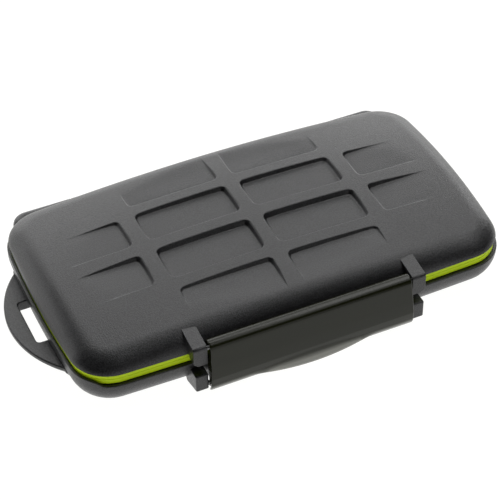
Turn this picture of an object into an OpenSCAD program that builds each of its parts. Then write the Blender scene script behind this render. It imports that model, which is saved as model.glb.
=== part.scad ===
// Pocket case for memory cards: a dished base and a ribbed lid on a long rear hinge,
// a soft tray in each half, and one wide snap latch along the front.
// Millimetres. +X is the case's length, -Y its latch side, +Z up.
// The origin is the middle of the underside. The lid is shut.

/* [Case body] */
// Length of the lid over its rim
body_l = 130.6; // [118:0.1:160]
// Width of the lid over its rim, front to back
body_w = 71.8; // [68:0.1:90]
// Radius of the four corners, seen from above
corner_r = 11.4; // [10.5:0.1:14]
// How far the middle of each short end bows out
end_bow = 0.9; // [0.3:0.1:1.5]
// How far the middle of each long side bows out
side_bow = 0.8; // [0.3:0.1:1.5]
// Height of the base, from the table to its rim
base_h = 9.9; // [8.5:0.1:13]
// Height of the lid, from its rim to the middle of its crown
lid_h = 9; // [8:0.1:12]
// How far the crown has fallen at the two ends
crown_end_drop = 3.5; // [1:0.1:4.5]
// How far the crown has fallen at the two long sides
crown_side_drop = 3.4; // [1:0.1:4.5]
// Rounding between the lid's crown and its wall
lid_edge_r = 6.6; // [5:0.1:8]
// Rounding between the base's wall and its underside
base_edge_r = 9.3; // [6:0.1:9.6]
// How far the base's rim stands out past the lid's
base_step = 0.56; // [0.2:0.02:1]
// Thickness of the moulded walls
wall_t = 2.2; // [1.6:0.1:2.8]
// Thickness of the base's floor and of the lid's ceiling under its recesses
floor_t = 2; // [1.4:0.1:3]

/* [Ribs of the lid] */
// Width of the ribs that cross in the middle
rib_w = 4.5; // [3:0.1:6]
// Width of the ribs towards the two ends
end_rib_w = 4.7; // [3:0.1:6]
// Width of the ribs towards the two long sides
side_rib_w = 3.9; // [2.5:0.1:6]
// Length of the recesses beside the middle rib
cell_l = 28.1; // [20:0.1:32]
// Width of the recesses beside the middle rib
cell_w = 12; // [8:0.1:15]
// Depth of the flat recess floors under the top of the crown
recess_drop = 2.3; // [1.2:0.1:2.8]
// Slope of the recess walls from the upright
recess_draft = 15; // [5:1:30]
// Depth of the like recesses in the underside
under_recess = 0.8; // [0.4:0.1:1.2]

/* [Trays] */
// Height of the coloured strip between base and lid
strip_h = 3.2; // [2.6:0.1:4.5]
// How far the strip lies back from the lid's rim
strip_inset = 0.5; // [0.3:0.1:1]
// Shadow gap under the strip
seam_gap = 0.2; // [0.1:0.05:0.4]
// Length of a card pocket
pocket_l = 32.6; // [25:0.1:33]
// Width of a card pocket
pocket_w = 24.6; // [20:0.1:25.5]
// Depth of a card pocket
pocket_d = 2.4; // [2.1:0.1:3]
// Pockets along the case
pockets_long = 3; // [2:1:3]
// Pockets across the case
pockets_wide = 2; // [1:1:2]
// Thickness of a tray under its pockets
tray_floor = 1.2; // [0.8:0.1:1.6]
// Radius of the finger scoops between two pockets
scoop_r = 7; // [4:0.5:9]
// Height of the sealing bead on the base's tray
bead_h = 0.5; // [0.3:0.1:0.7]

/* [Hinge] */
// Distance of the hinge axis behind the lid's rim
hinge_out = 2.15; // [2.1:0.05:2.6]
// Depth of the hinge axis under the base's rim
hinge_drop = 0.3; // [0:0.1:1]
// Radius of the knuckles
knuckle_r = 2.05; // [1.8:0.05:2.1]
// Overall length of the hinge
hinge_l = 119; // [100:1:122]
// Length of the base's middle knuckle
mid_knuckle_l = 27.6; // [16:0.2:34]
// Length of each of the lid's two knuckles
lid_knuckle_l = 26.2; // [16:0.2:28]
// Gap between neighbouring knuckles
knuckle_gap = 0.4; // [0.3:0.05:0.8]
// Radius of the hinge pins
hinge_pin_r = 0.8; // [0.6:0.05:1]

/* [Latch] */
// Width of the latch at its lower edge
latch_w = 61.4; // [46:0.2:66]
// How much narrower the latch is at its roll
latch_taper = 1; // [0.4:0.1:2]
// Thickness of the latch plate
latch_t = 2; // [1.6:0.1:2.2]
// Radius of the roll at the latch's upper edge
roll_r = 2.25; // [2:0.05:2.4]
// Distance of the latch pins in front of the lid's rim
latch_out = 2.1; // [2:0.05:2.4]
// Height of the latch pins over the lid's rim
latch_up = 2.65; // [2.2:0.05:3]
// Outer radius of the latch's inturned lower edge
hook_r = 4.4; // [4.1:0.1:5]
// How far the latch plate leans out on its way down
latch_lean = 1; // [0.6:0.1:1.6]
// Height of the latch's lowest edge over the table
hook_clear = 0.2; // [0.1:0.1:0.6]
// Width of the thumb tab
tab_w = 31.6; // [24:0.2:44]
// How far the thumb tab stands out from the plate
tab_out = 2.4; // [1.5:0.1:4]
// Thickness of the thumb tab
tab_t = 1.7; // [1.2:0.1:2]
// Radius of the latch pins
latch_pin_r = 0.6; // [0.5:0.05:0.7]
// Clear gap between the latch's edges and the lugs
latch_side_gap = 0.5; // [0.4:0.1:1.5]
// Width of the four lugs
lug_w = 3.4; // [2.8:0.1:5]
// How far the lid's lugs stand out in front of its rim
lug_out_y = 3.4; // [3:0.1:4]

/* [Lanyard loop] */
// Radius of the loop's outer edge
loop_r = 29.1; // [24:0.1:34]
// How far the loop reaches past the lid's end
loop_out = 8.3; // [7:0.1:12]
// Thickness of the loop
loop_t = 3.4; // [2.4:0.1:4]
// Depth of the loop's upper face under the base's rim
loop_drop = 2.76; // [2:0.01:3.5]
// Width of the bar outside the slot
loop_bar = 5.1; // [4:0.1:6]
// Length of the slot
slot_l = 17; // [10:0.5:22]

/* [Hidden] */
$fn = 48;

// Clearances
pin_grip = 0.02;
pin_run = 0.06;
pin_end_gap = 0.3;
tray_fit = 0.3;
swing_gap = 0.4;
catch_gap = 0.35;
parting_gap = 0.05;
// How far a cutting shape runs on past the face that it cuts
over = 1;

// Heights of the joint lines
strip_z = base_h + seam_gap;
rim_z = strip_z + strip_h;
parting_z = strip_z + strip_h / 2;
top_z = rim_z + lid_h;
recess_z = top_z - recess_drop;
ceiling_z = recess_z - floor_t;

// Outline: shallow arcs for the sides, each tangent to the corner arcs
half_l = body_l / 2;
half_w = body_w / 2;
corner_x = half_l - corner_r - end_bow;
corner_y = half_w - corner_r - side_bow;
end_r = (pow(corner_r + end_bow, 2) + pow(corner_y, 2) - pow(corner_r, 2)) / (2 * end_bow);
side_r = (pow(corner_r + side_bow, 2) + pow(corner_x, 2) - pow(corner_r, 2)) / (2 * side_bow);
end_turn = atan2(corner_y, corner_x - half_l + end_r);
side_turn = atan2(corner_x, corner_y - half_w + side_r);
// Steps along a half end, a corner and a half side
fine_steps = [3, 9, 4];
plain_steps = [2, 5, 3];

// Hinge
hinge_y = half_w + hinge_out;
hinge_z = base_h - hinge_drop;
ear_in = mid_knuckle_l / 2 + lid_knuckle_l + 2 * knuckle_gap;
ear_round = 4.5;
arm_slope = 48;
web_drop = 6;
pin_cover = 1.2;

// Latch
latch_y = -half_w - latch_out;
latch_z = rim_z + latch_up;
lug_in = latch_w / 2 + latch_side_gap;
lug_out = lug_in + lug_w;
roll_w = latch_w - latch_taper;
// The inturned edge is rolled about the nose of the catch
hook_z = hook_clear + hook_r;
face_y = latch_y - roll_r - latch_lean;
hook_y = face_y + hook_r;
nose_r = hook_r - latch_t - catch_gap;
rail_set_back = 1.8;
pin_depth = 9;

// Lugs: the lid's start a little under the crown and fall towards the front
lug_front = half_w + lug_out_y;
lug_foot = 2.1;
lug_sink = 0.25;
lug_fall = 1.35;
lug_chamfer = 1.5;
// The base's lugs stand a little proud of the lid's and taper in under the case
base_lug_step = 0.4;
base_lug_reach = 2.9;

// Outline of the case at an inset, as points round from the +X end
function arc_points(centre, r, from, to, n) =
    [for (i = [1:n]) let (a = from + (to - from) * i / n) centre + r * [cos(a), sin(a)]];

function quarter_outline(d, n) = concat(
    [[half_l - d, 0]],
    arc_points([half_l - end_r, 0], end_r - d, 0, end_turn, n[0]),
    arc_points([corner_x, corner_y], corner_r - d, end_turn, 90 - side_turn, n[1]),
    arc_points([0, half_w - side_r], side_r - d, 90 - side_turn, 90, n[2])
);

function outline(d, n = fine_steps) =
    let (q = quarter_outline(d, n), m = len(q) - 1)
    concat(
        q,
        [for (i = [m - 1:-1:0]) [-q[i][0], q[i][1]]],
        [for (i = [1:m]) [-q[i][0], -q[i][1]]],
        [for (i = [m - 1:-1:1]) [q[i][0], -q[i][1]]]
    );

function level_ring(d, z, n) = [for (p = outline(d, n)) [p[0], p[1], z]];

// Height of the lid's crown, a shallow dome falling to the sides and ends
function crown(p) =
    top_z - crown_end_drop * pow(p[0] / half_l, 2) - crown_side_drop * pow(p[1] / half_w, 2);

// The wall would stand upright this far under the rim, and rolls over into the crown
wall_foot_z = rim_z - 1.2;

// A ring of the edge: share 0 is the rim and 1 the crown, and skin is a depth under the outside
function edge_ring(share, skin, n) =
    let (rim = outline(0, n), inward = outline(1, n))
    [for (i = [0:len(rim) - 1])
        let (start = asin((rim_z - wall_foot_z) / (crown(rim[i]) - wall_foot_z)),
             turn = start + share * (90 - start),
             d = skin + (lid_edge_r - skin) * (1 - cos(turn) / cos(start)),
             p = rim[i] + d * (inward[i] - rim[i]))
        [p[0], p[1], wall_foot_z + (crown(p) - skin - wall_foot_z) * sin(turn)]];

function crown_ring(share, skin, n) =
    [for (p = outline(lid_edge_r, n)) [share * p[0], share * p[1], crown(share * p) - skin]];

// A closed skin through rings that all have the same number of points
module loft(rings) {
    count = len(rings[0]);
    last = len(rings) - 1;
    polyhedron(
        points = [for (ring = rings) each ring],
        faces = concat(
            [[for (i = [0:count - 1]) i]],
            [for (k = [0:last - 1], i = [0:count - 1]) let (j = (i + 1) % count)
                each [[k * count + i, (k + 1) * count + i, (k + 1) * count + j],
                      [k * count + i, (k + 1) * count + j, k * count + j]]],
            [[for (i = [count - 1:-1:0]) last * count + i]]
        )
    );
}

module plate(inset, z0, z1, n = fine_steps) {
    translate([0, 0, z0])
        linear_extrude(z1 - z0)
            polygon(outline(inset, n));
}

module rounded_rect(l, w, r) {
    square([l - 2 * r, w], center = true);
    square([l, w - 2 * r], center = true);
    for (sx = [-1, 1], sy = [-1, 1])
        translate([sx * (l / 2 - r), sy * (w / 2 - r)])
            circle(r);
}

// Bar along X with a section drawn in Y and Z
module bar(x0, x1) {
    translate([x0, 0, 0])
        rotate([90, 0, 90])
            linear_extrude(x1 - x0)
                children();
}

module rod(x0, x1, y, z, r) {
    translate([x0, y, z])
        rotate([0, 90, 0])
            cylinder(h = x1 - x0, r = r);
}

// Recess with sloping walls: its floor at z = 0, opening upwards
module drafted_recess(l, w, depth) {
    spread = 2 * depth * tan(recess_draft);
    linear_extrude(depth, scale = [(l + spread) / l, (w + spread) / w], slices = 1)
        rounded_rect(l, w, recess_corner_r, $fn = 20);
}

recess_corner_r = 1.6;
// Half the width that the slope adds to a recess of middling depth
recess_shrink = 0.4;

// Grid of twelve recesses: two columns and two rows a side, without the corners
module recess_grid(end_x, end_y, depth) {
    inner_x = [rib_w / 2, rib_w / 2 + cell_l];
    outer_x = [inner_x[1] + end_rib_w, end_x];
    inner_y = [rib_w / 2, rib_w / 2 + cell_w];
    outer_y = [inner_y[1] + side_rib_w, end_y];
    for (sx = [-1, 1], sy = [-1, 1], cell = [[inner_x, inner_y], [outer_x, inner_y], [inner_x, outer_y]]) {
        span_x = cell[0];
        span_y = cell[1];
        translate([sx * (span_x[0] + span_x[1]) / 2, sy * (span_y[0] + span_y[1]) / 2, 0])
            drafted_recess(span_x[1] - span_x[0] - 2 * recess_shrink,
                           span_y[1] - span_y[0] - 2 * recess_shrink, depth);
    }
}

// Outer form of the lid, down to its rim
module lid_form() {
    loft(concat(
        [for (k = [0:6]) edge_ring(k / 6, 0, fine_steps)],
        [for (share = [0.75, 0.5, 0.25, 0.06]) crown_ring(share, 0, fine_steps)]
    ));
}

// The space in the lid a skin's depth in from its form, cut flat under the recess floors
module lid_room(skin) {
    below = 5;
    intersection() {
        loft(concat(
            [level_ring(skin, rim_z - below, plain_steps)],
            [for (k = [0:3]) edge_ring(k / 3, skin, plain_steps)],
            [crown_ring(0.1, skin, plain_steps)]
        ));
        translate([-body_l, -body_w, rim_z - below / 2])
            cube([2 * body_l, 2 * body_w, ceiling_z + wall_t - skin - rim_z + below / 2]);
    }
}

// Outer form of the base: a rim band, then a quarter-round down to the flat underside
rim_break = 0.25;
base_bend_r = min(base_edge_r, base_h - 2 * rim_break);

module base_form() {
    loft(concat(
        [for (turn = [90:-15:0])
            level_ring(base_bend_r * (1 - cos(turn)) - base_step, base_bend_r * (1 - sin(turn)), fine_steps)],
        [level_ring(-base_step, base_h - rim_break, fine_steps)],
        [level_ring(rim_break - base_step, base_h, fine_steps)]
    ));
}

module base_hollow() {
    above = 5;
    inner_floor = under_recess + floor_t;
    bend_w = base_bend_r - floor_t - wall_t / 2;
    bend_h = base_h - inner_floor - over;
    loft(concat(
        [for (turn = [90:-30:0])
            level_ring(wall_t + bend_w * (1 - cos(turn)), inner_floor + bend_h * (1 - sin(turn)), plain_steps)],
        [level_ring(wall_t, base_h + above, plain_steps)]
    ));
}

// Hinge
module knuckle(x0, x1) {
    rod(x0, x1, hinge_y, hinge_z, knuckle_r);
}

// Base knuckle with the web that carries it out from the wall
module base_knuckle(x0, x1) {
    knuckle(x0, x1);
    bar(x0, x1)
        polygon([
            [half_w - 2 * wall_t, base_h],
            [hinge_y, base_h],
            [hinge_y + knuckle_r * cos(arm_slope), hinge_z - knuckle_r * sin(arm_slope)],
            [half_w - 2 * wall_t, base_h - web_drop - wall_t]
        ]);
}

// End knuckle, rounded off where it runs into the case's corner
module base_ear() {
    length = hinge_l / 2 - ear_in;
    deep = hinge_y + knuckle_r - corner_y;
    intersection() {
        base_knuckle(ear_in, hinge_l / 2);
        translate([ear_in, corner_y, 0])
            linear_extrude(top_z) {
                square([length - ear_round, deep]);
                square([length, deep - ear_round]);
                translate([length - ear_round, deep - ear_round])
                    circle(ear_round);
            }
    }
}

// Lid knuckle with the arm that drops from the lid's wall behind the strip
module lid_knuckle() {
    x0 = mid_knuckle_l / 2 + knuckle_gap;
    tangent = [hinge_y + knuckle_r * cos(arm_slope), hinge_z + knuckle_r * sin(arm_slope)];
    meet_z = tangent[1] + (tangent[0] - half_w) / tan(arm_slope);
    knuckle(x0, x0 + lid_knuckle_l);
    bar(x0, x0 + lid_knuckle_l)
        polygon([
            [hinge_y, hinge_z],
            tangent,
            [half_w, meet_z],
            [half_w - wall_t / 2, meet_z],
            [half_w - wall_t / 2, rim_z],
            [half_w - strip_inset + tray_fit, rim_z],
            [hinge_y - knuckle_r, hinge_z]
        ]);
}

// Room in the base's rim for the lid's knuckles
module lid_knuckle_room() {
    rod(mid_knuckle_l / 2, ear_in, hinge_y, hinge_z, knuckle_r + swing_gap);
}

module both_sides() {
    children();
    mirror([1, 0, 0])
        children();
}

module lid_lug() {
    back_y = half_w - lid_edge_r;
    back_z = crown([lug_in, back_y]) - lug_sink;
    foot_z = rim_z - lug_foot;
    intersection() {
        bar(lug_in, lug_out)
            polygon([
                [-back_y, back_z],
                [-lug_front, back_z - lug_fall],
                [-lug_front, foot_z],
                [-half_w - tray_fit, foot_z],
                [-half_w - tray_fit, rim_z],
                [-back_y, rim_z]
            ]);
        translate([0, body_w, 0])
            rotate([90, 0, 0])
                linear_extrude(2 * body_w)
                    polygon([
                        [lug_in, top_z],
                        [lug_out, top_z],
                        [lug_out, foot_z + lug_chamfer],
                        [lug_out - lug_chamfer, foot_z],
                        [lug_in, foot_z]
                    ]);
    }
}

module base_lug() {
    front_y = -lug_front - base_lug_step;
    foot_y = base_lug_reach - half_w;
    bar(lug_in, lug_out)
        polygon([
            [wall_t - half_w, base_h - lug_foot],
            [front_y, base_h - lug_foot],
            [front_y, lug_foot],
            [foot_y, hook_clear],
            [foot_y + wall_t, lug_foot]
        ]);
}

// Rail under which the latch's inturned edge snaps
module catch_rail() {
    rail_end = latch_w / 2 - rail_set_back;
    bar(-rail_end, rail_end) {
        translate([hook_y, hook_z])
            circle(nose_r);
        translate([hook_y, hook_z - nose_r])
            square([2 * wall_t - half_w - hook_y, 2 * nose_r]);
    }
}

// Flat loop with a slot for a lanyard, its under edge bevelled
module lanyard_loop() {
    loop_top = base_h - loop_drop;
    centre_x = -half_l - loop_out + loop_r;
    bevel = 1.5;
    upright = 1.2;
    slot_corner_r = 1.2;
    bar_out_x = centre_x - loop_r;
    slot_in_x = corner_r + end_bow - half_l;
    slot_out_x = bar_out_x + loop_bar;
    difference() {
        intersection() {
            translate([centre_x, 0, 0])
                rotate_extrude()
                    polygon([
                        [0, loop_top - loop_t],
                        [loop_r - bevel, loop_top - loop_t],
                        [loop_r, loop_top - upright],
                        [loop_r, loop_top],
                        [0, loop_top]
                    ]);
            translate([bar_out_x - over, -loop_r, 0])
                cube([slot_in_x - bar_out_x + over, 2 * loop_r, base_h]);
        }
        translate([(slot_out_x + slot_in_x) / 2, 0, 0])
            linear_extrude(base_h)
                rounded_rect(slot_in_x - slot_out_x, slot_l, slot_corner_r);
    }
}

module base_shell() {
    under_end_x = half_l - base_bend_r - end_rib_w;
    under_end_y = half_w - base_bend_r - side_rib_w / 2;
    color([0.17, 0.17, 0.17])
        difference() {
            union() {
                base_form();
                lanyard_loop();
                catch_rail();
                base_knuckle(-mid_knuckle_l / 2, mid_knuckle_l / 2);
                both_sides() {
                    base_ear();
                    base_lug();
                }
            }
            base_hollow();
            rotate([180, 0, 0])
                translate([0, 0, -under_recess])
                    recess_grid(under_end_x, under_end_y, under_recess + over);
            both_sides()
                lid_knuckle_room();
            rod(-half_l, half_l, hinge_y, hinge_z, hinge_pin_r + pin_grip);
        }
}

module lid_shell() {
    color([0.17, 0.17, 0.17])
        difference() {
            union() {
                lid_form();
                both_sides() {
                    lid_knuckle();
                    lid_lug();
                }
            }
            lid_room(wall_t);
            translate([0, 0, recess_z])
                recess_grid(half_l, half_w, recess_drop + over);
            rod(-half_l, half_l, hinge_y, hinge_z, hinge_pin_r + pin_run);
            rod(-half_l, half_l, latch_y, latch_z, latch_pin_r + pin_grip);
        }
}

// Trays
bead_inset = 1.8;
bead_w = 1;
neck_inset = 1.6;
// The lid's tray stays inside the rounding of the lid's edge, and the base's has the same pockets
tray_margin = lid_edge_r;
pocket_corner_r = 1.5;

// Distance between pockets that share the room with equal walls between and around them
function pocket_step(room, size, count) = size + (room - count * size) / (count + 1);

module pockets() {
    step_x = pocket_step(body_l - 2 * tray_margin, pocket_l, pockets_long);
    step_y = pocket_step(body_w - 2 * tray_margin, pocket_w, pockets_wide);
    for (i = [0:pockets_long - 1]) {
        x = (i - (pockets_long - 1) / 2) * step_x;
        for (j = [0:pockets_wide - 1])
            translate([x, (j - (pockets_wide - 1) / 2) * step_y])
                rounded_rect(pocket_l, pocket_w, pocket_corner_r);
        translate([x, 0])
            circle(scoop_r);
    }
}

module base_liner() {
    face_z = parting_z - parting_gap / 2;
    color([0.62, 0.72, 0.08])
        difference() {
            union() {
                plate(strip_inset, strip_z, face_z);
                plate(neck_inset, base_h, strip_z);
                plate(wall_t + tray_fit, face_z - pocket_d - tray_floor, base_h);
                difference() {
                    plate(bead_inset, face_z, face_z + bead_h);
                    plate(bead_inset + bead_w, face_z - over, face_z + over);
                }
            }
            translate([0, 0, face_z - pocket_d])
                linear_extrude(pocket_d + over)
                    pockets();
        }
}

module lid_liner() {
    face_z = parting_z + parting_gap / 2;
    groove_d = bead_h + parting_gap;
    color([0.62, 0.72, 0.08])
        difference() {
            union() {
                plate(strip_inset, face_z, rim_z);
                intersection() {
                    plate(tray_margin, rim_z, face_z + pocket_d + tray_floor);
                    lid_room(wall_t + tray_fit);
                }
            }
            difference() {
                plate(bead_inset - swing_gap, face_z - over, face_z + groove_d);
                plate(bead_inset + bead_w + swing_gap, face_z - 2 * over, face_z + groove_d + over);
            }
            translate([0, 0, face_z - over])
                linear_extrude(pocket_d + over)
                    pockets();
        }
}

// Section of the latch: roll, plate tangent to the roll, and inturned lower edge
module latch_section() {
    run = [roll_r + latch_lean, latch_z - hook_z];
    lean = atan2(run[0], run[1]) - asin(roll_r / norm(run));
    inward = [cos(lean), -sin(lean)];
    roll_centre = [latch_y, latch_z];
    translate(roll_centre)
        circle(roll_r);
    polygon([
        roll_centre - roll_r * inward,
        [face_y, hook_z],
        [face_y + latch_t, hook_z],
        roll_centre + (latch_t - roll_r) * inward
    ]);
    intersection() {
        difference() {
            translate([hook_y, hook_z])
                circle(hook_r);
            translate([hook_y, hook_z])
                circle(hook_r - latch_t);
        }
        translate([hook_y - hook_r, hook_z - hook_r])
            square(hook_r);
    }
}

// The tab is part of a wide cone, so it runs out to nothing at both ends
module thumb_tab() {
    tab_rise = 0.8;
    tab_top_z = hook_z + tab_rise;
    cone_r = (pow(tab_w / 2, 2) - pow(tab_out, 2)) / (2 * tab_out);
    slant = tab_t / sqrt(2);
    intersection() {
        translate([0, face_y + cone_r, 0])
            rotate_extrude()
                polygon([
                    [cone_r - over, tab_top_z + over],
                    [cone_r + tab_out, tab_top_z - tab_out],
                    [cone_r + tab_out - slant, tab_top_z - tab_out - slant],
                    [cone_r - over - slant, tab_top_z + over - slant]
                ]);
        translate([-latch_w / 2, 2 * face_y, 0])
            cube([latch_w, latch_t - face_y, top_z]);
    }
}

module latch() {
    chamfer = 1.2;
    color([0.1, 0.1, 0.1])
        difference() {
            intersection() {
                union() {
                    bar(-latch_w / 2, latch_w / 2)
                        latch_section();
                    thumb_tab();
                }
                rotate([90, 0, 0])
                    linear_extrude(body_w)
                        polygon([
                            [-roll_w / 2, top_z],
                            [-latch_w / 2, hook_z],
                            [-latch_w / 2, hook_clear + chamfer],
                            [chamfer - latch_w / 2, hook_clear],
                            [latch_w / 2 - chamfer, hook_clear],
                            [latch_w / 2, hook_clear + chamfer],
                            [latch_w / 2, hook_z],
                            [roll_w / 2, top_z]
                        ]);
            }
            both_sides()
                rod(roll_w / 2 - pin_depth, half_l, latch_y, latch_z, latch_pin_r + pin_run);
        }
}

module hinge_pin() {
    color([0.7, 0.7, 0.72])
        rod(pin_end_gap, hinge_l / 2 - pin_cover, hinge_y, hinge_z, hinge_pin_r);
}

module latch_pin() {
    color([0.7, 0.7, 0.72])
        rod(roll_w / 2 - pin_depth + pin_end_gap, lug_out - pin_end_gap, latch_y, latch_z, latch_pin_r);
}

base_shell();
base_liner();
lid_shell();
lid_liner();
latch();
mirror([1, 0, 0]) hinge_pin();  // hinge_pin_left
hinge_pin();  // hinge_pin_right
mirror([1, 0, 0]) latch_pin();  // latch_pin_left
latch_pin();  // latch_pin_right
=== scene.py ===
import math

import bmesh
import bpy
from mathutils import Matrix, Vector


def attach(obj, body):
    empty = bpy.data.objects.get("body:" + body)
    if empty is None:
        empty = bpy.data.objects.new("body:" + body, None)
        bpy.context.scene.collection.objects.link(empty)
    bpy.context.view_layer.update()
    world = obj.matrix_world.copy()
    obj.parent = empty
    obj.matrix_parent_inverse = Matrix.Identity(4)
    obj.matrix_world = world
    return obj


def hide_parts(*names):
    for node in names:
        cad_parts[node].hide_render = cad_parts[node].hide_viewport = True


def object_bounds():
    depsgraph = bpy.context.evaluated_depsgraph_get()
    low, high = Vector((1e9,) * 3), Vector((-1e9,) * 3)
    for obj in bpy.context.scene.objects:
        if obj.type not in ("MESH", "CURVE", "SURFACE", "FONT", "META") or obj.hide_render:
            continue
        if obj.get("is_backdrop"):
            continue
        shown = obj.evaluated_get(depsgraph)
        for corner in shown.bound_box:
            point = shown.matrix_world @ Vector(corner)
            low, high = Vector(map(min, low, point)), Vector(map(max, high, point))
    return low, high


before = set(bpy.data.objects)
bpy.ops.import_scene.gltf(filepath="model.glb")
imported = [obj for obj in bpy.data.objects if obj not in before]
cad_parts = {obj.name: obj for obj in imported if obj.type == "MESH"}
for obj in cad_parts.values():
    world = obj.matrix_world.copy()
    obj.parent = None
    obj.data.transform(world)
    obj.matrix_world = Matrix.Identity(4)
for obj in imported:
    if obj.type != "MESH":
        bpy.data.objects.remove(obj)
cad_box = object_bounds()

# Lower shell
# The moulded half that lies on the table: a dished bowl of black polycarbonate with a stepped rim,
# a lanyard loop at one end, hinge ears and knuckle behind, and lugs and a catch rail in front.
# It comes out of the mould in one shot, with a fine spark-eroded grain on its outside.

# Meshes are built in millimetres, in the CAD's frame, and scaled when their piece is finished.
MM = 0.001
half_l, half_w = 65.3, 35.9
corner_r, end_bow, side_bow = 11.4, 0.9, 0.8
corner_x = half_l - corner_r - end_bow
corner_y = half_w - corner_r - side_bow
end_r = ((corner_r + end_bow) ** 2 + corner_y**2 - corner_r**2) / (2 * end_bow)
side_r = ((corner_r + side_bow) ** 2 + corner_x**2 - corner_r**2) / (2 * side_bow)
end_turn = math.atan2(corner_y, corner_x - half_l + end_r)
side_turn = math.atan2(corner_x, corner_y - half_w + side_r)
base_h, base_edge_r, base_step, wall_t, floor_t = 9.9, 9.3, 0.56, 2.2, 2.8
rim_round, rim_lift, lift_x, lift_run = 0.32, 1.3, 58.5, 2.5


def stations(x_lines, y_lines, corner_steps=12):
    """Places round the case's outline: (column, row, at), where at(d) is the point at the inset d."""
    last_x, last_y = len(x_lines) - 1, len(y_lines) - 1

    def end(sign, y):
        return lambda d: (sign * (half_l - end_r + math.sqrt((end_r - d) ** 2 - y * y)), y)

    def side(sign, x):
        return lambda d: (x, sign * (half_w - side_r + math.sqrt((side_r - d) ** 2 - x * x)))

    def corner(sx, sy, turn):
        return lambda d: (
            sx * (corner_x + (corner_r - d) * math.cos(turn)),
            sy * (corner_y + (corner_r - d) * math.sin(turn)),
        )

    swing = math.pi / 2 - side_turn - end_turn
    turns = [end_turn + swing * k / corner_steps for k in range(corner_steps + 1)]
    around = [(last_x, j, end(1, y)) for j, y in enumerate(y_lines)]
    around += [(last_x, last_y, corner(1, 1, t)) for t in turns]
    around += [(i, last_y, side(1, x_lines[i])) for i in range(last_x, -1, -1)]
    around += [(0, last_y, corner(-1, 1, t)) for t in reversed(turns)]
    around += [(0, j, end(-1, y_lines[j])) for j in range(last_y, -1, -1)]
    around += [(0, 0, corner(-1, -1, t)) for t in turns]
    around += [(i, 0, side(-1, x)) for i, x in enumerate(x_lines)]
    around += [(last_x, 0, corner(1, -1, t)) for t in reversed(turns)]
    return around


def bridge(bm, rings):
    """Faces between each closed ring of vertices and the next. Vertices that two rings share count once."""
    for inner, outer in zip(rings, rings[1:]):
        for k in range(len(inner)):
            n = (k + 1) % len(inner)
            corners = list(dict.fromkeys((inner[k], inner[n], outer[n], outer[k])))
            if len(corners) > 2:
                bm.faces.new(corners)


def shell_skin(bm, x_lines, y_lines, face, rows, back):
    """A closed skin: the grid face(x, y), rows of points out and round the edge, and the grid back(x, y)."""
    around = stations(x_lines, y_lines)

    def grid(height):
        return [[bm.verts.new((x, y, height(x, y))) for y in y_lines] for x in x_lines]

    front_grid, back_grid = grid(face), grid(back)
    for mesh_grid in (front_grid, back_grid):
        for i in range(len(x_lines) - 1):
            for j in range(len(y_lines) - 1):
                bm.faces.new(
                    (mesh_grid[i][j], mesh_grid[i + 1][j], mesh_grid[i + 1][j + 1], mesh_grid[i][j + 1])
                )
    rings = [[front_grid[i][j] for i, j, at in around]]
    for row in rows:
        rings.append([bm.verts.new(row((x_lines[i], y_lines[j]), at)) for i, j, at in around])
    rings.append([back_grid[i][j] for i, j, at in around])
    bridge(bm, rings)


def between(d, share, height):
    """A row at a share of the way from the grid's edge to the outline's inset d, at the height there."""

    def row(anchor, at):
        x, y = (a + (b - a) * share for a, b in zip(anchor, at(d)))
        return x, y, height(x, y)

    return row


def inset_row(d, z, lift=0.0):
    """A row along the outline's inset d at one height, or lifted above it at the end with the loop."""
    return lambda anchor, at: (*at(d), z + lift * ramp((-at(d)[0] - lift_x) / lift_run))


def grid_lines(limit, edges):
    """Grid lines from -limit to limit, close together near the edges of the recesses."""
    near_edge, widest, finest = 1.3, 1.7, 7
    marks = {limit, 0.0}
    for edge in edges:
        shares = [k / finest for k in range(-finest, finest + 1)]
        marks.update(edge + near_edge * share * abs(share) ** 0.4 for share in shares)
    marks = sorted(m for m in marks if 0 <= m <= limit)
    lines = []
    for a, b in zip(marks, marks[1:]):
        n = max(1, math.ceil((b - a) / widest))
        lines += [a + (b - a) * k / n for k in range(n)]
    lines.append(limit)
    return [-v for v in reversed(lines[1:])] + lines


def soft_min(a, b, k):
    """The smaller of two values, rounded over where they are less than k apart."""
    h = max(k - abs(a - b), 0.0) / k
    return min(a, b) - h * h * k / 4


def ramp(t):
    """A smooth step from 0 to 1 as t goes from 0 to 1."""
    t = min(max(t, 0.0), 1.0)
    return t * t * (3 - 2 * t)


rib, end_rib, side_rib, cell_l, cell_w = 4.5, 4.7, 3.9, 28.1, 12.0
inner_x = (rib / 2, rib / 2 + cell_l)
inner_y = (rib / 2, rib / 2 + cell_w)
cell_corner, foot_inset, recess_draft = 1.6, 0.4, math.tan(math.radians(15))
fine_round, least_round, lip_reach, lip_run = 0.12, 0.05, 1.4, 1.2
# The step that is left where a recess has run out fades to nothing here, over the second length.
last_step, fade_end, fade_back, fade_front = 0.45, (56.5, 8), (32.5, 5), (28, 4)


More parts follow.
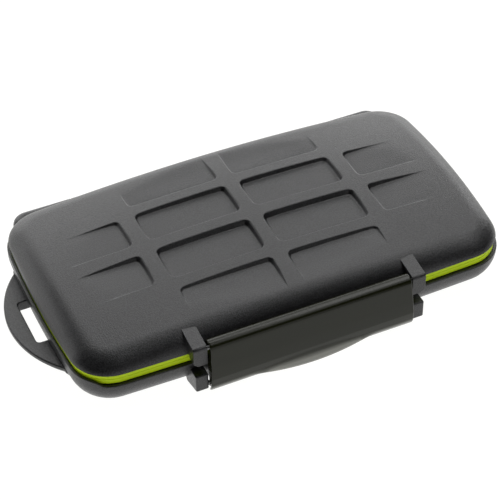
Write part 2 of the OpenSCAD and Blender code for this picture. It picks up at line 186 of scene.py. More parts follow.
def sunk(x, y, surface, floor, ends, top_round, floor_round):
    """Height at (x, y) of a surface with the twelve recesses sunk in it, their edges rounded.

    Where the surface falls to the floor's height the recess still shows as a shallow step, which
    fades out a little further on.
    """
    outer_x, outer_y = (inner_x[1] + end_rib, ends[0]), (inner_y[1] + side_rib, ends[1])
    away = 1e9
    for (x0, x1), (y0, y1) in ((inner_x, inner_y), (outer_x, inner_y), (inner_x, outer_y)):
        qx = abs(abs(x) - (x0 + x1) / 2) - (x1 - x0) / 2 + foot_inset + cell_corner
        qy = abs(abs(y) - (y0 + y1) / 2) - (y1 - y0) / 2 + foot_inset + cell_corner
        away = min(away, math.hypot(max(qx, 0), max(qy, 0)) + min(max(qx, qy), 0) - cell_corner)
    wall = floor + away / recess_draft
    depth = max(surface - floor, 0.0)
    gone, length = fade_back if y > 0 else fade_front
    run_out = last_step * ramp((fade_end[0] - abs(x)) / fade_end[1]) * ramp((gone - abs(y)) / length)
    lip = fine_round + (top_round - fine_round) * ramp((away + lip_reach) / lip_run)
    cell = -soft_min(-floor, -wall, min(floor_round, least_round + depth))
    return soft_min(surface, cell, min(lip, least_round + depth + run_out))


under_recess, under_ends = 0.8, (51.3, 24.65)


def under_side(x, y):
    return -sunk(x, y, 0.0, -under_recess, under_ends, 0.35, 0.3)


def quarter(r, steps):
    """(run, rise) along a quarter round of radius r, from level to upright."""
    return [
        (r * math.sin(math.pi / 2 * k / steps), r * (1 - math.cos(math.pi / 2 * k / steps)))
        for k in range(steps + 1)
    ]


def profile_bar(bm, profile, x0, x1, rounding=0.0):
    """A bar along X with the (y, z) profile, its sharp edges rounded."""
    made = bmesh.new()
    ends = [[made.verts.new((x, y, z)) for y, z in profile] for x in (x0, x1)]
    made.faces.new(ends[0])
    made.faces.new(reversed(ends[1]))
    for k in range(len(profile)):
        n = (k + 1) % len(profile)
        made.faces.new((ends[0][n], ends[0][k], ends[1][k], ends[1][n]))
    bmesh.ops.recalc_face_normals(made, faces=made.faces)
    if rounding:
        round_edges(made, [e for e in made.edges if e.calc_face_angle(0) > math.radians(28)], rounding)
    add_mesh(bm, made)


def twin_bars(bm, profile, near, far, rounding=0.0):
    """The same bar to both sides of the middle, from near to far."""
    for side in (-1, 1):
        profile_bar(bm, profile, *sorted((side * near, side * far)), rounding)


def round_edges(bm, edges, radius, segments=3, clamped=True):
    """Rounds the edges, or chamfers them with one segment."""
    bmesh.ops.bevel(
        bm, geom=edges, offset=radius, segments=segments, profile=0.5, affect="EDGES", clamp_overlap=clamped
    )


def add_mesh(bm, made):
    """Moves everything in made into bm."""
    scratch = bpy.data.meshes.new("scratch")
    made.to_mesh(scratch)
    made.free()
    bm.from_mesh(scratch)
    bpy.data.meshes.remove(scratch)


def arc(cy, cz, r, start, stop, steps):
    """Points on an arc about (cy, cz), from one angle to another in degrees."""
    return [
        (cy + r * math.cos(math.radians(a)), cz + r * math.sin(math.radians(a)))
        for a in (start + (stop - start) * k / steps for k in range(steps + 1))
    ]


def make_piece(name, bm, finish, body, node):
    """Turns bm, in millimetres, into the piece that rides on the body and stands for the CAD node."""
    bmesh.ops.scale(bm, vec=(MM, MM, MM), verts=bm.verts)
    bmesh.ops.recalc_face_normals(bm, faces=bm.faces)
    mesh = bpy.data.meshes.new(name)
    bm.to_mesh(mesh)
    bm.free()
    mesh.shade_smooth()
    mesh.set_sharp_from_angle(angle=math.radians(50))
    mesh.materials.append(finish)
    piece = bpy.data.objects.new(name, mesh)
    bpy.context.scene.collection.objects.link(piece)
    level = piece.modifiers.new("even_normals", "WEIGHTED_NORMAL")
    level.keep_sharp = True
    level.weight = 60
    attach(piece, body)
    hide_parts(node)


class Shade:
    """A socket in a finish's node tree. Python's + and * on it add Math nodes."""

    def __init__(self, tree, socket=None):
        self.tree, self.socket = tree, socket

    def node(self, kind, settings, sockets, out=0):
        """A node's output, from its type, its settings and the values or links of its sockets."""
        made = self.tree.nodes.new(kind)
        for key, value in settings.items():
            setattr(made, key, value)
        for key, value in sockets.items():
            if isinstance(value, Shade):
                self.tree.links.new(value.socket, made.inputs[key])
            else:
                made.inputs[key].default_value = value
        return Shade(self.tree, made.outputs[out])

    def __add__(self, other):
        return self.node("ShaderNodeMath", {"operation": "ADD"}, {0: self, 1: other})

    def __mul__(self, other):
        return self.node("ShaderNodeMath", {"operation": "MULTIPLY"}, {0: self, 1: other})

    __radd__, __rmul__ = __add__, __mul__


def span(value, low, high, to_low=0.0, to_high=1.0):
    """The value's way from low to high, as a smooth step between two others."""
    sockets = {"Value": value, "From Min": low, "From Max": high, "To Min": to_low, "To Max": to_high}
    return value.node("ShaderNodeMapRange", {"interpolation_type": "SMOOTHSTEP"}, sockets)


def noise(place, scale, detail=2.0, roughness=0.5):
    sockets = {"Vector": place, "Scale": scale, "Detail": detail, "Roughness": roughness}
    return place.node("ShaderNodeTexNoise", {}, sockets)


def stretched(place, factors):
    return place.node("ShaderNodeVectorMath", {"operation": "MULTIPLY"}, {0: place, 1: factors})


def blend(share, low, high):
    """A colour between low and high."""
    return share.node("ShaderNodeMix", {"data_type": "RGBA"}, {0: share, 6: low, 7: high}, out=2)


def bump(strength, distance, height):
    return height.node("ShaderNodeBump", {}, {"Strength": strength, "Distance": distance, "Height": height})


def new_finish(name):
    """An empty finish: its material, and a Shade of the piece's own coordinates to build it from."""
    material = bpy.data.materials.new(name)
    material.use_nodes = True
    tree = material.node_tree
    tree.nodes.clear()
    place = Shade(tree).node("ShaderNodeTexCoord", {}, {}, out="Object")
    return material, place


def give_surface(place, sockets):
    surface = place.node("ShaderNodeBsdfPrincipled", {}, sockets)
    end = place.tree.nodes.new("ShaderNodeOutputMaterial")
    place.tree.links.new(surface.socket, end.inputs["Surface"])


# Black moulding: spark-eroded grain in colour and relief, faint flow clouds and hairline scuffs.
shell_black, place = new_finish("shell_black")
sparks = noise(place, 2600, 2.0, 0.6)
pits = noise(place, 5200, 1.0, 0.5)
cloud = noise(place, 55, 3.0, 0.55)
scuffs = span(noise(stretched(place, (30, 900, 300)), 1.0, 2.0, 0.6), 0.66, 0.78) * span(cloud, 0.5, 0.62)
speckle = span(cloud, 0.3, 0.7) * 0.2 + span(sparks, 0.36, 0.64) * 0.8
give_surface(
    place,
    {
        "Base Color": blend(speckle, (0.0068, 0.0068, 0.0072, 1), (0.0306, 0.0306, 0.0324, 1)),
        "Roughness": span(cloud, 0.3, 0.7, 0.29, 0.33) + scuffs * 0.04,
        "Normal": bump(1.0, 0.0001, sparks * 0.7 + pits * 0.3),
        "Specular IOR Level": 0.46,
    },
)

base = bmesh.new()
x_lines = grid_lines(corner_x, (inner_x[0], inner_x[1], inner_x[1] + end_rib, under_ends[0]))
y_lines = grid_lines(corner_y, (inner_y[0], inner_y[1], inner_y[1] + side_rib))
flat_d = base_edge_r - base_step
rows = [between(flat_d, k / 3, under_side) for k in (1, 2, 3)]
rows += [inset_row(flat_d - run, rise) for run, rise in quarter(base_edge_r, 12)[1:]]
rows += [
    inset_row(-base_step + rise, base_h - rim_round + run, rim_lift) for run, rise in quarter(rim_round, 4)
]
rows.append(inset_row(0.25, base_h, rim_lift))
hollow = ((0.3, base_h), (wall_t, base_h), (wall_t, 7.0), (wall_t + 2.4, 3.6), (wall_t + 6.0, floor_t))
rows += [inset_row(d, z) for d, z in hollow]
shell_skin(base, x_lines, y_lines, under_side, rows, lambda x, y: floor_t)

# The hinge's middle knuckle, and an ear at each end that turns in to the case round a corner.
hinge_y, hinge_z, knuckle_r, knuckle_round = 38.05, 9.6, 2.05, 0.25
knuckle_x, ear_x, ear_end, ear_turn_r, ear_tail = 13.8, 40.8, 59.5, 4.5, (1.5, 1.5, 6.0)
tuck_gap, tuck_run = 0.3, 1.2
root_y, web_foot = half_w - 2 * wall_t, 1.7
web_turn = 180 - math.degrees(math.asin((base_h - hinge_z) / knuckle_r))
web = [(root_y, web_foot), *arc(hinge_y, hinge_z, knuckle_r, -48, web_turn, 18), (root_y, base_h)]
profile_bar(base, web, -knuckle_x, knuckle_x, knuckle_round)
turn_x, turn_y = ear_end - ear_turn_r, hinge_y + knuckle_r - ear_turn_r
ear_foot = web_foot + (turn_y - root_y) / (web[1][0] - root_y) * (web[1][1] - web_foot)
ear_section = [(turn_y, ear_foot), *web[1:-1], (turn_y, base_h)]


def ear_ring(ear, side, turn):
    """The ear's section where it has turned this far round its corner."""
    ring = []
    for y, z in ear_section:
        x = turn_x + (y - turn_y) * math.sin(turn)
        ring.append(ear.verts.new((side * x, turn_y + (y - turn_y) * math.cos(turn), z)))
    return ring


def lower_near_case(ear):
    """Brings the ear's top down to the base's rim where it comes close to the case."""
    for v in ear.verts:
        away = math.hypot(max(abs(v.co.x) - corner_x, 0), max(v.co.y - corner_y, 0)) - corner_r
        top = base_h + (knuckle_r + hinge_z - base_h) * ramp((away - tuck_gap) / tuck_run)
        v.co.z = min(v.co.z, top)


for side in (-1, 1):
    profile_bar(base, web, *sorted((side * ear_x, side * turn_x)))
    ear = bmesh.new()
    rings = [ear_ring(ear, side, math.pi / 2 * k / 8) for k in range(9)]
    for back in ear_tail:
        rings.append([ear.verts.new(v.co - Vector((0, back, 0))) for v in rings[-1]])
    lower_near_case(ear)
    bridge(ear, rings)
    ear.faces.new(rings[0])
    ear.faces.new(rings[-1])
    bmesh.ops.remove_doubles(ear, verts=ear.verts, dist=0.0005)
    add_mesh(base, ear)

# In front, the two lugs that guard the latch's ends and the rail that its lower edge snaps under.
lug_in, lug_out, lug_front, lug_foot = 30.9, 34.6, 39.3, 2.1
lug_lead, lug_toe, lug_toe_z, lug_round = 0.4, 2.9, 0.2, 0.45
base_lug = [
    (wall_t - half_w, base_h - lug_foot),
    (-lug_front - lug_lead, base_h - lug_foot),
    (-lug_front - lug_lead, lug_foot),
    (lug_toe - half_w, lug_toe_z),
    (lug_toe - half_w + wall_t, lug_foot),
]
twin_bars(base, base_lug, lug_in, lug_out, lug_round)

hook_y, hook_z, nose_r, rail_end, rail_round = -36.85, 4.6, 2.05, 29.4, 0.2
rail_y = 2 * wall_t - half_w
rail = [*arc(hook_y, hook_z, nose_r, 90, 270, 14), (rail_y, hook_z - nose_r), (rail_y, hook_z + nose_r)]
profile_bar(base, rail, -rail_end, rail_end, rail_round)

# At the left end, the lanyard loop: a thin plate with a round end and a slot along the case.
loop_x, loop_r, loop_top, loop_t, loop_sink, join_r = -44.5, 29.1, 7.14, 3.4, 0.25, 2.0
wall_x = loop_sink - half_l
join_x = wall_x - join_r
join_y = math.sqrt((loop_r + join_r) ** 2 - (join_x - loop_x) ** 2)
join_turn = math.degrees(math.atan2(join_y, join_x - loop_x))


def loop_outline(d):
    """The loop's outer edge at an inset, with a small fillet into the case at both ends."""
    half = [(wall_x + 2.4, join_y + 1.0 - d), (wall_x + 1.0 + d * 0.4, join_y + 1.0 - d)]
    half += arc(join_x, join_y, join_r + d, 0, join_turn - 180, 6)
    half += arc(loop_x, 0, loop_r - d, join_turn, 180, 20)[1:]
    return half + [(x, -y) for x, y in reversed(half[:-1])]


slot_x, slot_half_l, slot_half_w, slot_r = -66.05, 1.25, 7.3, 1.2


def slot_outline(d):
    """The slot's edge, widened by d."""
    points = []
    for sx, sy, start in ((1, 1, 0), (-1, 1, 90), (-1, -1, 180), (1, -1, 270)):
        points += arc(slot_x + sx * (slot_half_l + d), sy * (slot_half_w + d), slot_r, start, start + 90, 6)
    return points


# Sections of the two edges, from the top down: (inset or widening, drop).
loop_edge = [
    (0.45, 0), (0.2, 0.07), (0.05, 0.22), (0, 0.45), (0, 1.1), (0.15, 1.4), (1.35, 3.1), (1.7, loop_t)
]
slot_edge = [(0.35, 0), (0.12, 0.08), (0, 0.3), (0, loop_t - 0.3), (0.1, loop_t - 0.1), (0.3, loop_t)]
loop = bmesh.new()
rims = []
for outline, section in ((loop_outline, loop_edge), (slot_outline, slot_edge)):
    rings = [[loop.verts.new((x, y, loop_top - drop)) for x, y in outline(d)] for d, drop in section]
    bridge(loop, rings)
    rims.append((rings[0], rings[-1]))
for pair in zip(*rims):
    edges = [loop.edges.get((ring[k - 1], ring[k])) for ring in pair for k in range(len(ring))]
    bmesh.ops.triangle_fill(loop, edges=edges, use_beauty=True)
add_mesh(base, loop)
make_piece("lower_shell", base, shell_black, "base", "base_shell")


# Lower tray
# A soft lime insert pressed into the lower shell. Its flange shows as the lower half of the coloured
# strip, and a bead round it seals the case. Six pockets hold the cards, with a finger scoop between
# each pair.
parting_z, strip_z, face_gap = 11.7, 10.1, 0.025
pocket_l, pocket_w, pocket_d, pocket_r, pocket_pitch = 32.6, 24.6, 2.4, 1.5, 37.5
web_half, scoop_half, tray_floor = 1.567, 6.8, 1.2
flange_inset, flange_round, neck_inset, wall_inset, bottom_round = 0.5, 0.14, 1.6, 2.5, 0.3
lap, hair = 0.1, 0.02


def flat_plate(bm, outlines, z0, z1, rounding):
    """A plate between two heights, its edges rounded. Of the outlines the first is its outer edge."""
    curve = bpy.data.curves.new("plate", "CURVE")
    curve.dimensions, curve.fill_mode = "2D", "BOTH"
    curve.extrude = (z1 - z0) / 2 - rounding
    curve.bevel_depth, curve.offset, curve.bevel_resolution = rounding, -rounding, 2
    for points in outlines:
        spline = curve.splines.new("POLY")
        spline.points.add(len(points) - 1)
        for point, (x, y) in zip(spline.points, points):
            point.co = (x, y, 0, 1)
        spline.use_cyclic_u = True
    holder = bpy.data.objects.new("plate", curve)
    made = bmesh.new()
    mesh = bpy.data.meshes.new_from_object(holder)
    made.from_mesh(mesh)
    bmesh.ops.remove_doubles(made, verts=made.verts, dist=0.0005)
    bmesh.ops.translate(made, vec=(0, 0, (z0 + z1) / 2), verts=made.verts)
    add_mesh(bm, made)
    bpy.data.objects.remove(holder)
    bpy.data.curves.remove(curve)
    bpy.data.meshes.remove(mesh)


def case_outline(d):
    """The case's outline at an inset, as points."""
    x_marks = [-corner_x + corner_x * k / 10 for k in range(21)]
    y_marks = [-corner_y + corner_y * k / 5 for k in range(11)]
    return [at(d) for i, j, at in stations(x_marks, y_marks, 14)]


def card_pair(cx):
    """Outline of two pockets and the scoop that joins them, as one hole round the case's middle line."""
    x1, y1 = pocket_l / 2, web_half + pocket_w
    in_x, in_y = x1 - pocket_r, y1 - pocket_r
    points = arc(in_x, in_y, pocket_r, 0, 90, 5) + arc(-in_x, in_y, pocket_r, 90, 180, 5)
    points += [(-x1, web_half), (-scoop_half, web_half), (-scoop_half, -web_half), (-x1, -web_half)]
    points += arc(-in_x, -in_y, pocket_r, 180, 270, 5) + arc(in_x, -in_y, pocket_r, 270, 360, 5)
    points += [(x1, -web_half), (scoop_half, -web_half), (scoop_half, web_half), (x1, web_half)]
    return [(cx + x, y) for x, y in points]


pockets = [card_pair(cx) for cx in (-pocket_pitch, 0.0, pocket_pitch)]

# Lime thermoplastic rubber: matt, a little see-through at its edges, with a fine moulded tooth.
lime, place = new_finish("soft_lime")
tooth = noise(place, 1800, 2.0, 0.6)
cloud = noise(place, 70, 2.0, 0.5)
give_surface(
    place,
    {
        "Base Color": blend(span(cloud, 0.3, 0.7), (0.5, 0.69, 0.002, 1), (0.58, 0.78, 0.004, 1)),
        "Roughness": span(tooth, 0.3, 0.7, 0.42, 0.54),
        "Normal": bump(0.35, 0.00005, tooth),
        "Specular IOR Level": 0.22,
        "Subsurface Weight": 0.12,
        "Subsurface Radius": (0.0012, 0.0012, 0.0003),
        "Subsurface Scale": 1.0,
    },
)

tray = bmesh.new()
face = parting_z - face_gap
pocket_z = face - pocket_d
flat_plate(tray, [case_outline(flange_inset)] + pockets, strip_z, face, flange_round)
flat_plate(tray, [case_outline(wall_inset)] + pockets, pocket_z - hair, strip_z + lap / 2, hair)
flat_plate(tray, [case_outline(wall_inset)], pocket_z - tray_floor, pocket_z, bottom_round)
flat_plate(tray, [case_outline(neck_inset)] + pockets, base_h, strip_z + lap, hair)

# The sealing bead is a round section swept along the flange by Geometry Nodes.
bead_inset, bead_r, bead_facets = 2.3, 0.5, 20
bead_line = case_outline(bead_inset)
path = bpy.data.meshes.new("bead_path")
path.from_pydata(
    [(x, y, face) for x, y in bead_line],
    [(k, (k + 1) % len(bead_line)) for k in range(len(bead_line))],
    [],
)
bead = bpy.data.node_groups.new("sealing_bead", "GeometryNodeTree")
bead.interface.new_socket("Path", in_out="INPUT", socket_type="NodeSocketGeometry")
radius = bead.interface.new_socket("Radius", in_out="INPUT", socket_type="NodeSocketFloat")
facets = bead.interface.new_socket("Facets", in_out="INPUT", socket_type="NodeSocketInt")
bead.interface.new_socket("Bead", in_out="OUTPUT", socket_type="NodeSocketGeometry")
given, to_curve, ring, sweep, real, paint, result = (
    bead.nodes.new(kind)
    for kind in (
        "NodeGroupInput",
        "GeometryNodeMeshToCurve",
        "GeometryNodeCurvePrimitiveCircle",
        "GeometryNodeCurveToMesh",
        "GeometryNodeRealizeInstances",
        "GeometryNodeSetMaterial",
        "NodeGroupOutput",
    )
)
paint.inputs["Material"].default_value = lime
for source, target in (
    (given.outputs["Path"], to_curve.inputs["Mesh"]),
    (given.outputs["Facets"], ring.inputs["Resolution"]),
    (given.outputs["Radius"], ring.inputs["Radius"]),
    (to_curve.outputs["Curve"], sweep.inputs["Curve"]),
    (ring.outputs["Curve"], sweep.inputs["Profile Curve"]),
    (sweep.outputs["Mesh"], real.inputs["Geometry"]),
    (real.outputs["Geometry"], paint.inputs["Geometry"]),
    (paint.outputs["Geometry"], result.inputs["Bead"]),
):
    bead.links.new(source, target)
holder = bpy.data.objects.new("bead_path", path)
bpy.context.scene.collection.objects.link(holder)
swept = holder.modifiers.new("bead", "NODES")
swept.node_group = bead
swept[radius.identifier] = bead_r
swept[facets.identifier] = bead_facets
bead_mesh = bpy.data.meshes.new_from_object(holder.evaluated_get(bpy.context.evaluated_depsgraph_get()))
holder.modifiers.remove(swept)
tray.from_mesh(bead_mesh)
bpy.data.objects.remove(holder)
for leftover in (bead_mesh, path):
    bpy.data.meshes.remove(leftover)
make_piece("lower_tray", tray, lime, "base", "base_liner")


# Hinge and latch pins
# Ground steel wire pins, cut to length and pressed in from the ends, so only their ends show.
# The hinge has one from each end, and the latch turns on a short one at each end of its roll.
steel, place = new_finish("pin_steel")
lines = noise(stretched(place, (60, 4000, 4000)), 1.0, 2.0, 0.5)
give_surface(
    place,
    {
        "Base Color": blend(lines, (0.46, 0.46, 0.47, 1), (0.6, 0.6, 0.61, 1)),
        "Metallic": 1.0,
        "Roughness": span(lines, 0.3, 0.7, 0.24, 0.4),
        "Normal": bump(0.2, 0.00002, lines),
    },
)
for name in ("hinge_pin_left", "hinge_pin_right", "latch_pin_left", "latch_pin_right"):
    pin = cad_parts[name]
    pin.data.materials.clear()
    pin.data.materials.append(steel)


# Upper shell
# The lid: the same black moulding as the lower shell, with a low crown that rolls over into its wall.
# Twelve recesses with nearly level floors leave a grid of ribs, and run out where the crown falls away.
rim_z, top_z, end_fall, side_fall = 13.3, 22.3, 3.5, 3.4
lid_edge_r, wall_foot_z = 6.6, 12.7
recess_z, floor_rise, rise_half_l, rise_half_w = 20.0, 0.8, 36, 24
rib_round, recess_round, ceiling_z = 2.6, 0.6, 18.0


def crown(x, y):
    return top_z - end_fall * (x / half_l) ** 2 - side_fall * (y / half_w) ** 2


def lid_top(x, y):
    """The lid's outside, with the recesses' floors a little higher towards the middle."""
    domed = floor_rise * max(1 - (x / rise_half_l) ** 2, 0) * max(1 - (y / rise_half_w) ** 2, 0)
    return sunk(x, y, crown(x, y), recess_z + domed, (half_l, half_w), rib_round, recess_round)


def edge_row(share):
    """A row of the rounded edge: share 0 is where the crown ends and 1 is the rim."""

    def row(anchor, at):
        rim_x, rim_y = at(0)
        start = math.asin((rim_z - wall_foot_z) / (crown(rim_x, rim_y) - wall_foot_z))
        turn = math.pi / 2 - share * (math.pi / 2 - start)
        x, y = at(lid_edge_r * (1 - math.cos(turn) / math.cos(start)))
        return x, y, wall_foot_z + (lid_top(x, y) - wall_foot_z) * math.sin(turn)

    return row


lid = bmesh.new()
x_lines = grid_lines(corner_x, (inner_x[0], inner_x[1], inner_x[1] + end_rib))
y_lines = grid_lines(corner_y, (inner_y[0], inner_y[1], inner_y[1] + side_rib))
rows = [between(lid_edge_r, k / 6, lid_top) for k in range(1, 7)]
rows += [edge_row(k / 14) for k in range(1, 15)]
hollow = ((0.05, rim_z), (0.2, rim_z), (wall_t, rim_z), (wall_t, 14.2), (5.4, 15.6))
rows += [inset_row(d, z) for d, z in hollow]
shell_skin(lid, x_lines, y_lines, lid_top, rows, lambda x, y: min(ceiling_z, crown(x, y) - wall_t))

# Its two knuckles behind sit on arms that leave the wall at a slope and run on round the hinge.
arm_in, arm_out, arm_slope = 14.2, 40.4, 48
tangent = (
    hinge_y + knuckle_r * math.cos(math.radians(arm_slope)),
    hinge_z + knuckle_r * math.sin(math.radians(arm_slope)),
)
meet_z = tangent[1] + (tangent[0] - half_w) / math.tan(math.radians(arm_slope))
arm = [
    *arc(hinge_y, hinge_z, knuckle_r, -180, arm_slope, 20),
    (half_w, meet_z),
    (half_w - wall_t / 2, meet_z),
    (half_w - wall_t / 2, rim_z),
    (half_w - 0.2, rim_z),
]
twin_bars(lid, arm, arm_in, arm_out, knuckle_round)

# In front, the lugs that carry the latch's pins: chamfered below, with a large rounding at the top.
lid_lug_in, lid_lug_out, lug_chamfer, lug_top_round, lug_edge_round = 30.75, 34.9, 1.2, 0.9, 0.32
back_y = half_w - lid_edge_r
back_z = crown(lug_in, back_y) - 0.6
lug_top = back_z - 1.0
lid_lug = [
    (-back_y, back_z),
    (-lug_front, lug_top),
    (-lug_front, rim_z - lug_foot),
    (-half_w - 0.3, rim_z - lug_foot),
    (-half_w - 0.3, rim_z),
    (-back_y, rim_z),
]


def edges_at(bm, test):
    """The edges that have both ends where the test is true."""
    return [e for e in bm.edges if all(test(*v.co) for v in e.verts)]


for side in (-1, 1):
    out_x = side * lid_lug_out
    lug = bmesh.new()
    profile_bar(lug, lid_lug, *sorted((side * lid_lug_in, out_x)))
    under = edges_at(lug, lambda x, y, z: abs(x - out_x) < hair and abs(z - rim_z + lug_foot) < hair)
    round_edges(lug, under, lug_chamfer, 1, False)
    front = edges_at(lug, lambda x, y, z: y < hair - lug_front and z > lug_top - hair)
    round_edges(lug, front, lug_top_round, 4, False)
    sharp = [e for e in lug.edges if e.calc_face_angle(0) > math.radians(12)]
    round_edges(lug, sharp, lug_edge_round)
    add_mesh(lid, lug)
make_piece("upper_shell", lid, shell_black, "lid", "lid_shell")


# Upper tray
# The lid's own lime insert, with six pockets that face those below and a groove for the lower bead.
# Its flange is the upper half of the coloured strip.
groove_out, groove_in, groove_d, lid_wall_inset = 1.4, 3.2, 0.6, 6.4
tray = bmesh.new()
face = parting_z + face_gap
pocket_z = face + pocket_d
flat_plate(tray, [case_outline(flange_inset), case_outline(groove_out)], face, rim_z, flange_round)
flat_plate(tray, [case_outline(groove_in)] + pockets, face, rim_z + lap, 0.25)
flat_plate(tray, [case_outline(1.0)] + pockets, face + groove_d, rim_z, 0.05)
flat_plate(tray, [case_outline(lid_wall_inset)] + pockets, rim_z - lap, pocket_z + hair, hair)
flat_plate(tray, [case_outline(lid_wall_inset)], pocket_z, pocket_z + tray_floor, bottom_round)
make_piece("upper_tray", tray, lime, "lid", "lid_liner")


# Latch
# One wide gloss-black snap latch. It hangs on its pins from a rolled upper edge, its lower edge turns
# in under the catch rail, and a thin curved tab stands out of the middle for the thumb.
latch_y, latch_z, roll_r, latch_t = -38.0, 15.95, 2.25, 2.0
face_y, hook_r = -41.25, 4.4
face_run = (roll_r + 1.0, latch_z - hook_z)
lean = math.atan2(*face_run) - math.asin(roll_r / math.hypot(*face_run))
tab_w, tab_t, tab_top, tab_foot, flare = 31.6, 1.7, hook_z + 0.4, 1.7, math.radians(22)
tab_sag, tab_corner, tab_root, tab_round, tab_blend = 1.7, 1.0, -2.0, 0.8, 0.5


def rounded_box(u, v, u0, u1, half_v, r):
    """Distance from a rounded bar between u0 and u1, half_v to both sides of its middle line."""
    du, dv = abs(u - (u0 + u1) / 2) - (u1 - u0) / 2 + r, abs(v) - half_v + r
    return math.hypot(max(du, 0), max(dv, 0)) + min(max(du, dv), 0) - r


def latch_skin(x, y, z):
    """Distance from the latch's outside: the plate and its turned-in edge, with the tab blended on."""
    if z > hook_z:
        plain = (face_y - y) * math.cos(lean) - (z - hook_z) * math.sin(lean)
    else:
        plain = math.hypot(y - hook_y, z - hook_z) - hook_r
    share = (x / tab_w * 2) ** 2
    crease_z = tab_top - tab_sag * share
    out, up = face_y - y, z - crease_z
    u = out * math.sin(flare) - up * math.cos(flare)
    v = out * math.cos(flare) + up * math.sin(flare) + tab_t / 2
    length = (crease_z - tab_foot - tab_corner * share) / math.cos(flare)
    return soft_min(plain, rounded_box(u, v, tab_root, length, tab_t / 2, tab_round), tab_blend)


def skin_along(x, y, z, turn):
    """Point where a line from (y, z) at this turn leaves the latch's section at x, found by halving."""
    near, far = 0.0, 6.0
    for _ in range(22):
        mid = (near + far) / 2
        if latch_skin(x, y + mid * math.cos(turn), z + mid * math.sin(turn)) < 0:
            near = mid
        else:
            far = mid
    return y + near * math.cos(turn), z + near * math.sin(turn)


face_end, face_share, core_in, core_down = hook_z + 4.4, 0.98, 0.8, 0.2
fan_start, fan_turn, fan_steps = 112, 176, 64
hem_turn, lip_r = 262, 0.97


def latch_outline(x):
    """Section of the latch at x: roll, face with the tab, turned-in edge and back."""
    points = arc(latch_y, latch_z, roll_r, -60, 180 - math.degrees(lean), 30)
    roll_y, roll_z = points[-1]
    for k in range(1, 8):
        z = roll_z + (face_end - roll_z) * k / 8 * face_share
        points.append((roll_y + (face_y - roll_y) * k / 8, z))
    for k in range(fan_steps + 1):
        turn = math.radians(fan_start + fan_turn * k / fan_steps)
        points.append(skin_along(x, face_y + core_in, hook_z - core_down, turn))
    tail = math.degrees(math.atan2(points[-1][1] - hook_z, points[-1][0] - hook_y)) % 360
    points += arc(hook_y, hook_z, hook_r, tail, hem_turn, 6)[1:]
    points += arc(hook_y - 0.38, hook_z - hook_r + 1.0, lip_r, hem_turn, hem_turn + 180, 10)[1:]
    return points + arc(hook_y, hook_z, hook_r - latch_t, hem_turn, 180, 12)[1:]


top_half, splay, foot_z, foot_trim, edge_round = 30.2, 0.5, 1.4, 1.2, 0.4
tab_reach, plain_x = 20, 24.0


def half_width(z):
    """Half the latch's width at a height: wider towards its foot, whose corners are trimmed."""
    foot = min(max(foot_z - z, 0), foot_trim)
    return top_half + splay * min(max((latch_z - z) / face_run[1], 0), 1) - foot


latch = bmesh.new()
plain_outline = latch_outline(29.0)
inward_way = []
for k in range(len(plain_outline)):
    (y0, z0), (y1, z1) = plain_outline[k - 1], plain_outline[(k + 1) % len(plain_outline)]
    size = math.hypot(y1 - y0, z1 - z0)
    inward_way.append((-(z1 - z0) / size, (y1 - y0) / size))


def end_rings(side, order):
    """Rings round one end of the latch, whose edge is rounded."""
    for k in order:
        a = math.pi / 2 * k / 4
        inward, out = edge_round * (1 - math.cos(a)), edge_round * (1 - math.sin(a))
        yield [
            latch.verts.new((side * (half_width(z) - out), y + ny * inward, z + nz * inward))
            for (y, z), (ny, nz) in zip(plain_outline, inward_way)
        ]


across = [-plain_x, *(-tab_reach + 2 * tab_reach * k / 56 for k in range(57)), plain_x]
rings = list(end_rings(-1, range(4, -1, -1)))
rings += [[latch.verts.new((x, y, z)) for y, z in latch_outline(x)] for x in across]
rings += end_rings(1, range(5))
bridge(latch, rings)
latch.faces.new(rings[0])
latch.faces.new(rings[-1])


def along(place, axis):
    """One of a place's coordinates, in metres."""
    return place.node("ShaderNodeSeparateXYZ", {}, {"Vector": place}, out=axis)


# Gloss black, with a paler colour on the tab and on the lower edge beside it: a painted reflection of the
# white table below, not wear.
gloss_black, place = new_finish("latch_black")
flow = noise(stretched(place, (40, 260, 260)), 1.0, 3.0, 0.55)
across_x, out_y, up_z = (along(place, axis) for axis in "XYZ")
on_tab = span(across_x * across_x, 0.00024, 0.00018)
# The tab and lower-edge masks mark where the paler colour goes: a painted reflection of the white table.
tab_painted_reflection = span(up_z, 0.0056, 0.0012) * span(out_y, -0.0412, -0.0416) * on_tab
lip_painted_reflection = span(up_z, 0.0047, 0.0018) * span(out_y, -0.0392, -0.0402)
painted_reflection = (tab_painted_reflection + lip_painted_reflection * 0.85) * (0.8 + flow * 0.4)
fresh = blend(flow, (0.008, 0.009, 0.003, 1), (0.012, 0.013, 0.004, 1))
give_surface(
    place,
    {
        # The paler colour blended in here is the painted reflection on the tab and lower edge.
        "Base Color": blend(painted_reflection, fresh, (0.34, 0.34, 0.31, 1)),
        "Roughness": span(flow, 0.3, 0.7, 0.17, 0.24),
        "Normal": bump(0.12, 0.00002, noise(place, 3000, 1.0, 0.5)),
        "Specular IOR Level": 0.29,
    },
)
make_piece("snap_latch", latch, gloss_black, "latch", "latch")


# Table, lights and camera
# A white table under a large soft light, and the long lens that the case was seen through.
table_half, table_z = 4, -0.0003
quarters = ((-1, -1), (1, -1), (1, 1), (-1, 1))
table_corners = [(sx * table_half, sy * table_half, table_z) for sx, sy in quarters]
table_mesh = bpy.data.meshes.new("table")
table_mesh.from_pydata(table_corners, [], [(0, 1, 2, 3)])
table = bpy.data.objects.new("table", table_mesh)
bpy.context.scene.collection.objects.link(table)
white, place = new_finish("table_white")
give_surface(
    place,
    {
        "Base Color": (0.12, 0.12, 0.12, 1),
        "Roughness": 0.9,
        "Specular IOR Level": 0.0,
        "Emission Color": (1, 1, 0.985, 1),
        "Emission Strength": 1.0,
    },
)
table_mesh.materials.append(white)
table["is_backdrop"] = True

light_way, light_l, light_w = 1.5, 1.15, 0.64


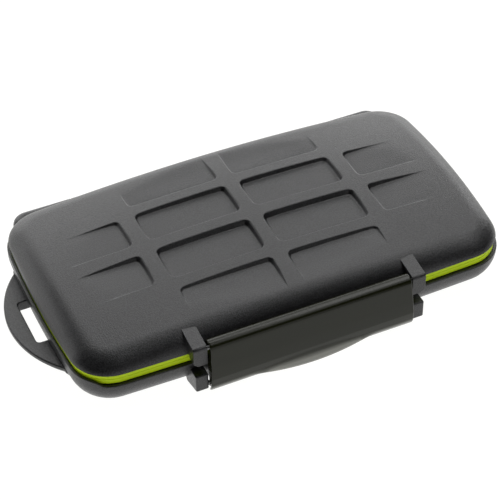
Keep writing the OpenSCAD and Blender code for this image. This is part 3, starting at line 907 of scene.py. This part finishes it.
def soft_light(turn, rise, watts):
    """A softbox seen from the case at the turn, 0 in front and 90 to the right, and rise above the table."""
    a, e = math.radians(turn), math.radians(rise)
    data = bpy.data.lights.new("softbox", "AREA")
    data.shape, data.size, data.size_y, data.energy = "RECTANGLE", light_l * math.cos(e), light_w, watts
    lamp = bpy.data.objects.new("softbox", data)
    lamp.location = Vector((math.sin(a) * math.cos(e), -math.cos(a) * math.cos(e), math.sin(e))) * light_way
    lamp.rotation_mode = "QUATERNION"
    lamp.rotation_quaternion = (-lamp.location).to_track_quat("-Z", "Y")
    bpy.context.scene.collection.objects.link(lamp)


for turn, rise, watts in (
    (135, 13, 7.3),
    (180, 13, 5.7),
    (225, 13, 4.2),
    (0, 13, 1.9),
    (135, 37, 2.5),
    (180, 37, 3.8),
    (225, 37, 0.9),
    (45, 62, 1.5),
    (90, 62, 4.0),
    (135, 62, 3.6),
    (180, 62, 3.6),
):
    soft_light(turn, rise, watts)

world = bpy.data.worlds.new("room")
world.use_nodes = True
world.node_tree.nodes["Background"].inputs["Color"].default_value = (1, 1, 1, 1)
world.node_tree.nodes["Background"].inputs["Strength"].default_value = 0.0
bpy.context.scene.world = world
bpy.context.scene.view_settings.view_transform = "Standard"

camera_data = bpy.data.cameras.new("camera")
camera_data.sensor_width, camera_data.lens = 36, 135.34
camera_data.clip_start, camera_data.clip_end = 0.01, 20
camera = bpy.data.objects.new("camera", camera_data)
turn, rise, roll = math.radians(-23.92), math.radians(42.86), math.radians(-0.86)
back = Vector((math.sin(turn) * math.cos(rise), -math.cos(turn) * math.cos(rise), math.sin(rise)))
level_right = Vector((math.cos(turn), math.sin(turn), 0))
level_up = back.cross(level_right)
right = level_right * math.cos(roll) + level_up * math.sin(roll)
up = level_up * math.cos(roll) - level_right * math.sin(roll)
facing = Matrix((right, up, back)).transposed().to_4x4()
camera.matrix_world = Matrix.Translation(Vector((-0.1610, -0.3615, 0.3748))) @ facing
bpy.context.scene.collection.objects.link(camera)
bpy.context.scene.camera = camera

size = {"cad": [list(v) for v in cad_box], "visual": [list(v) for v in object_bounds()]}
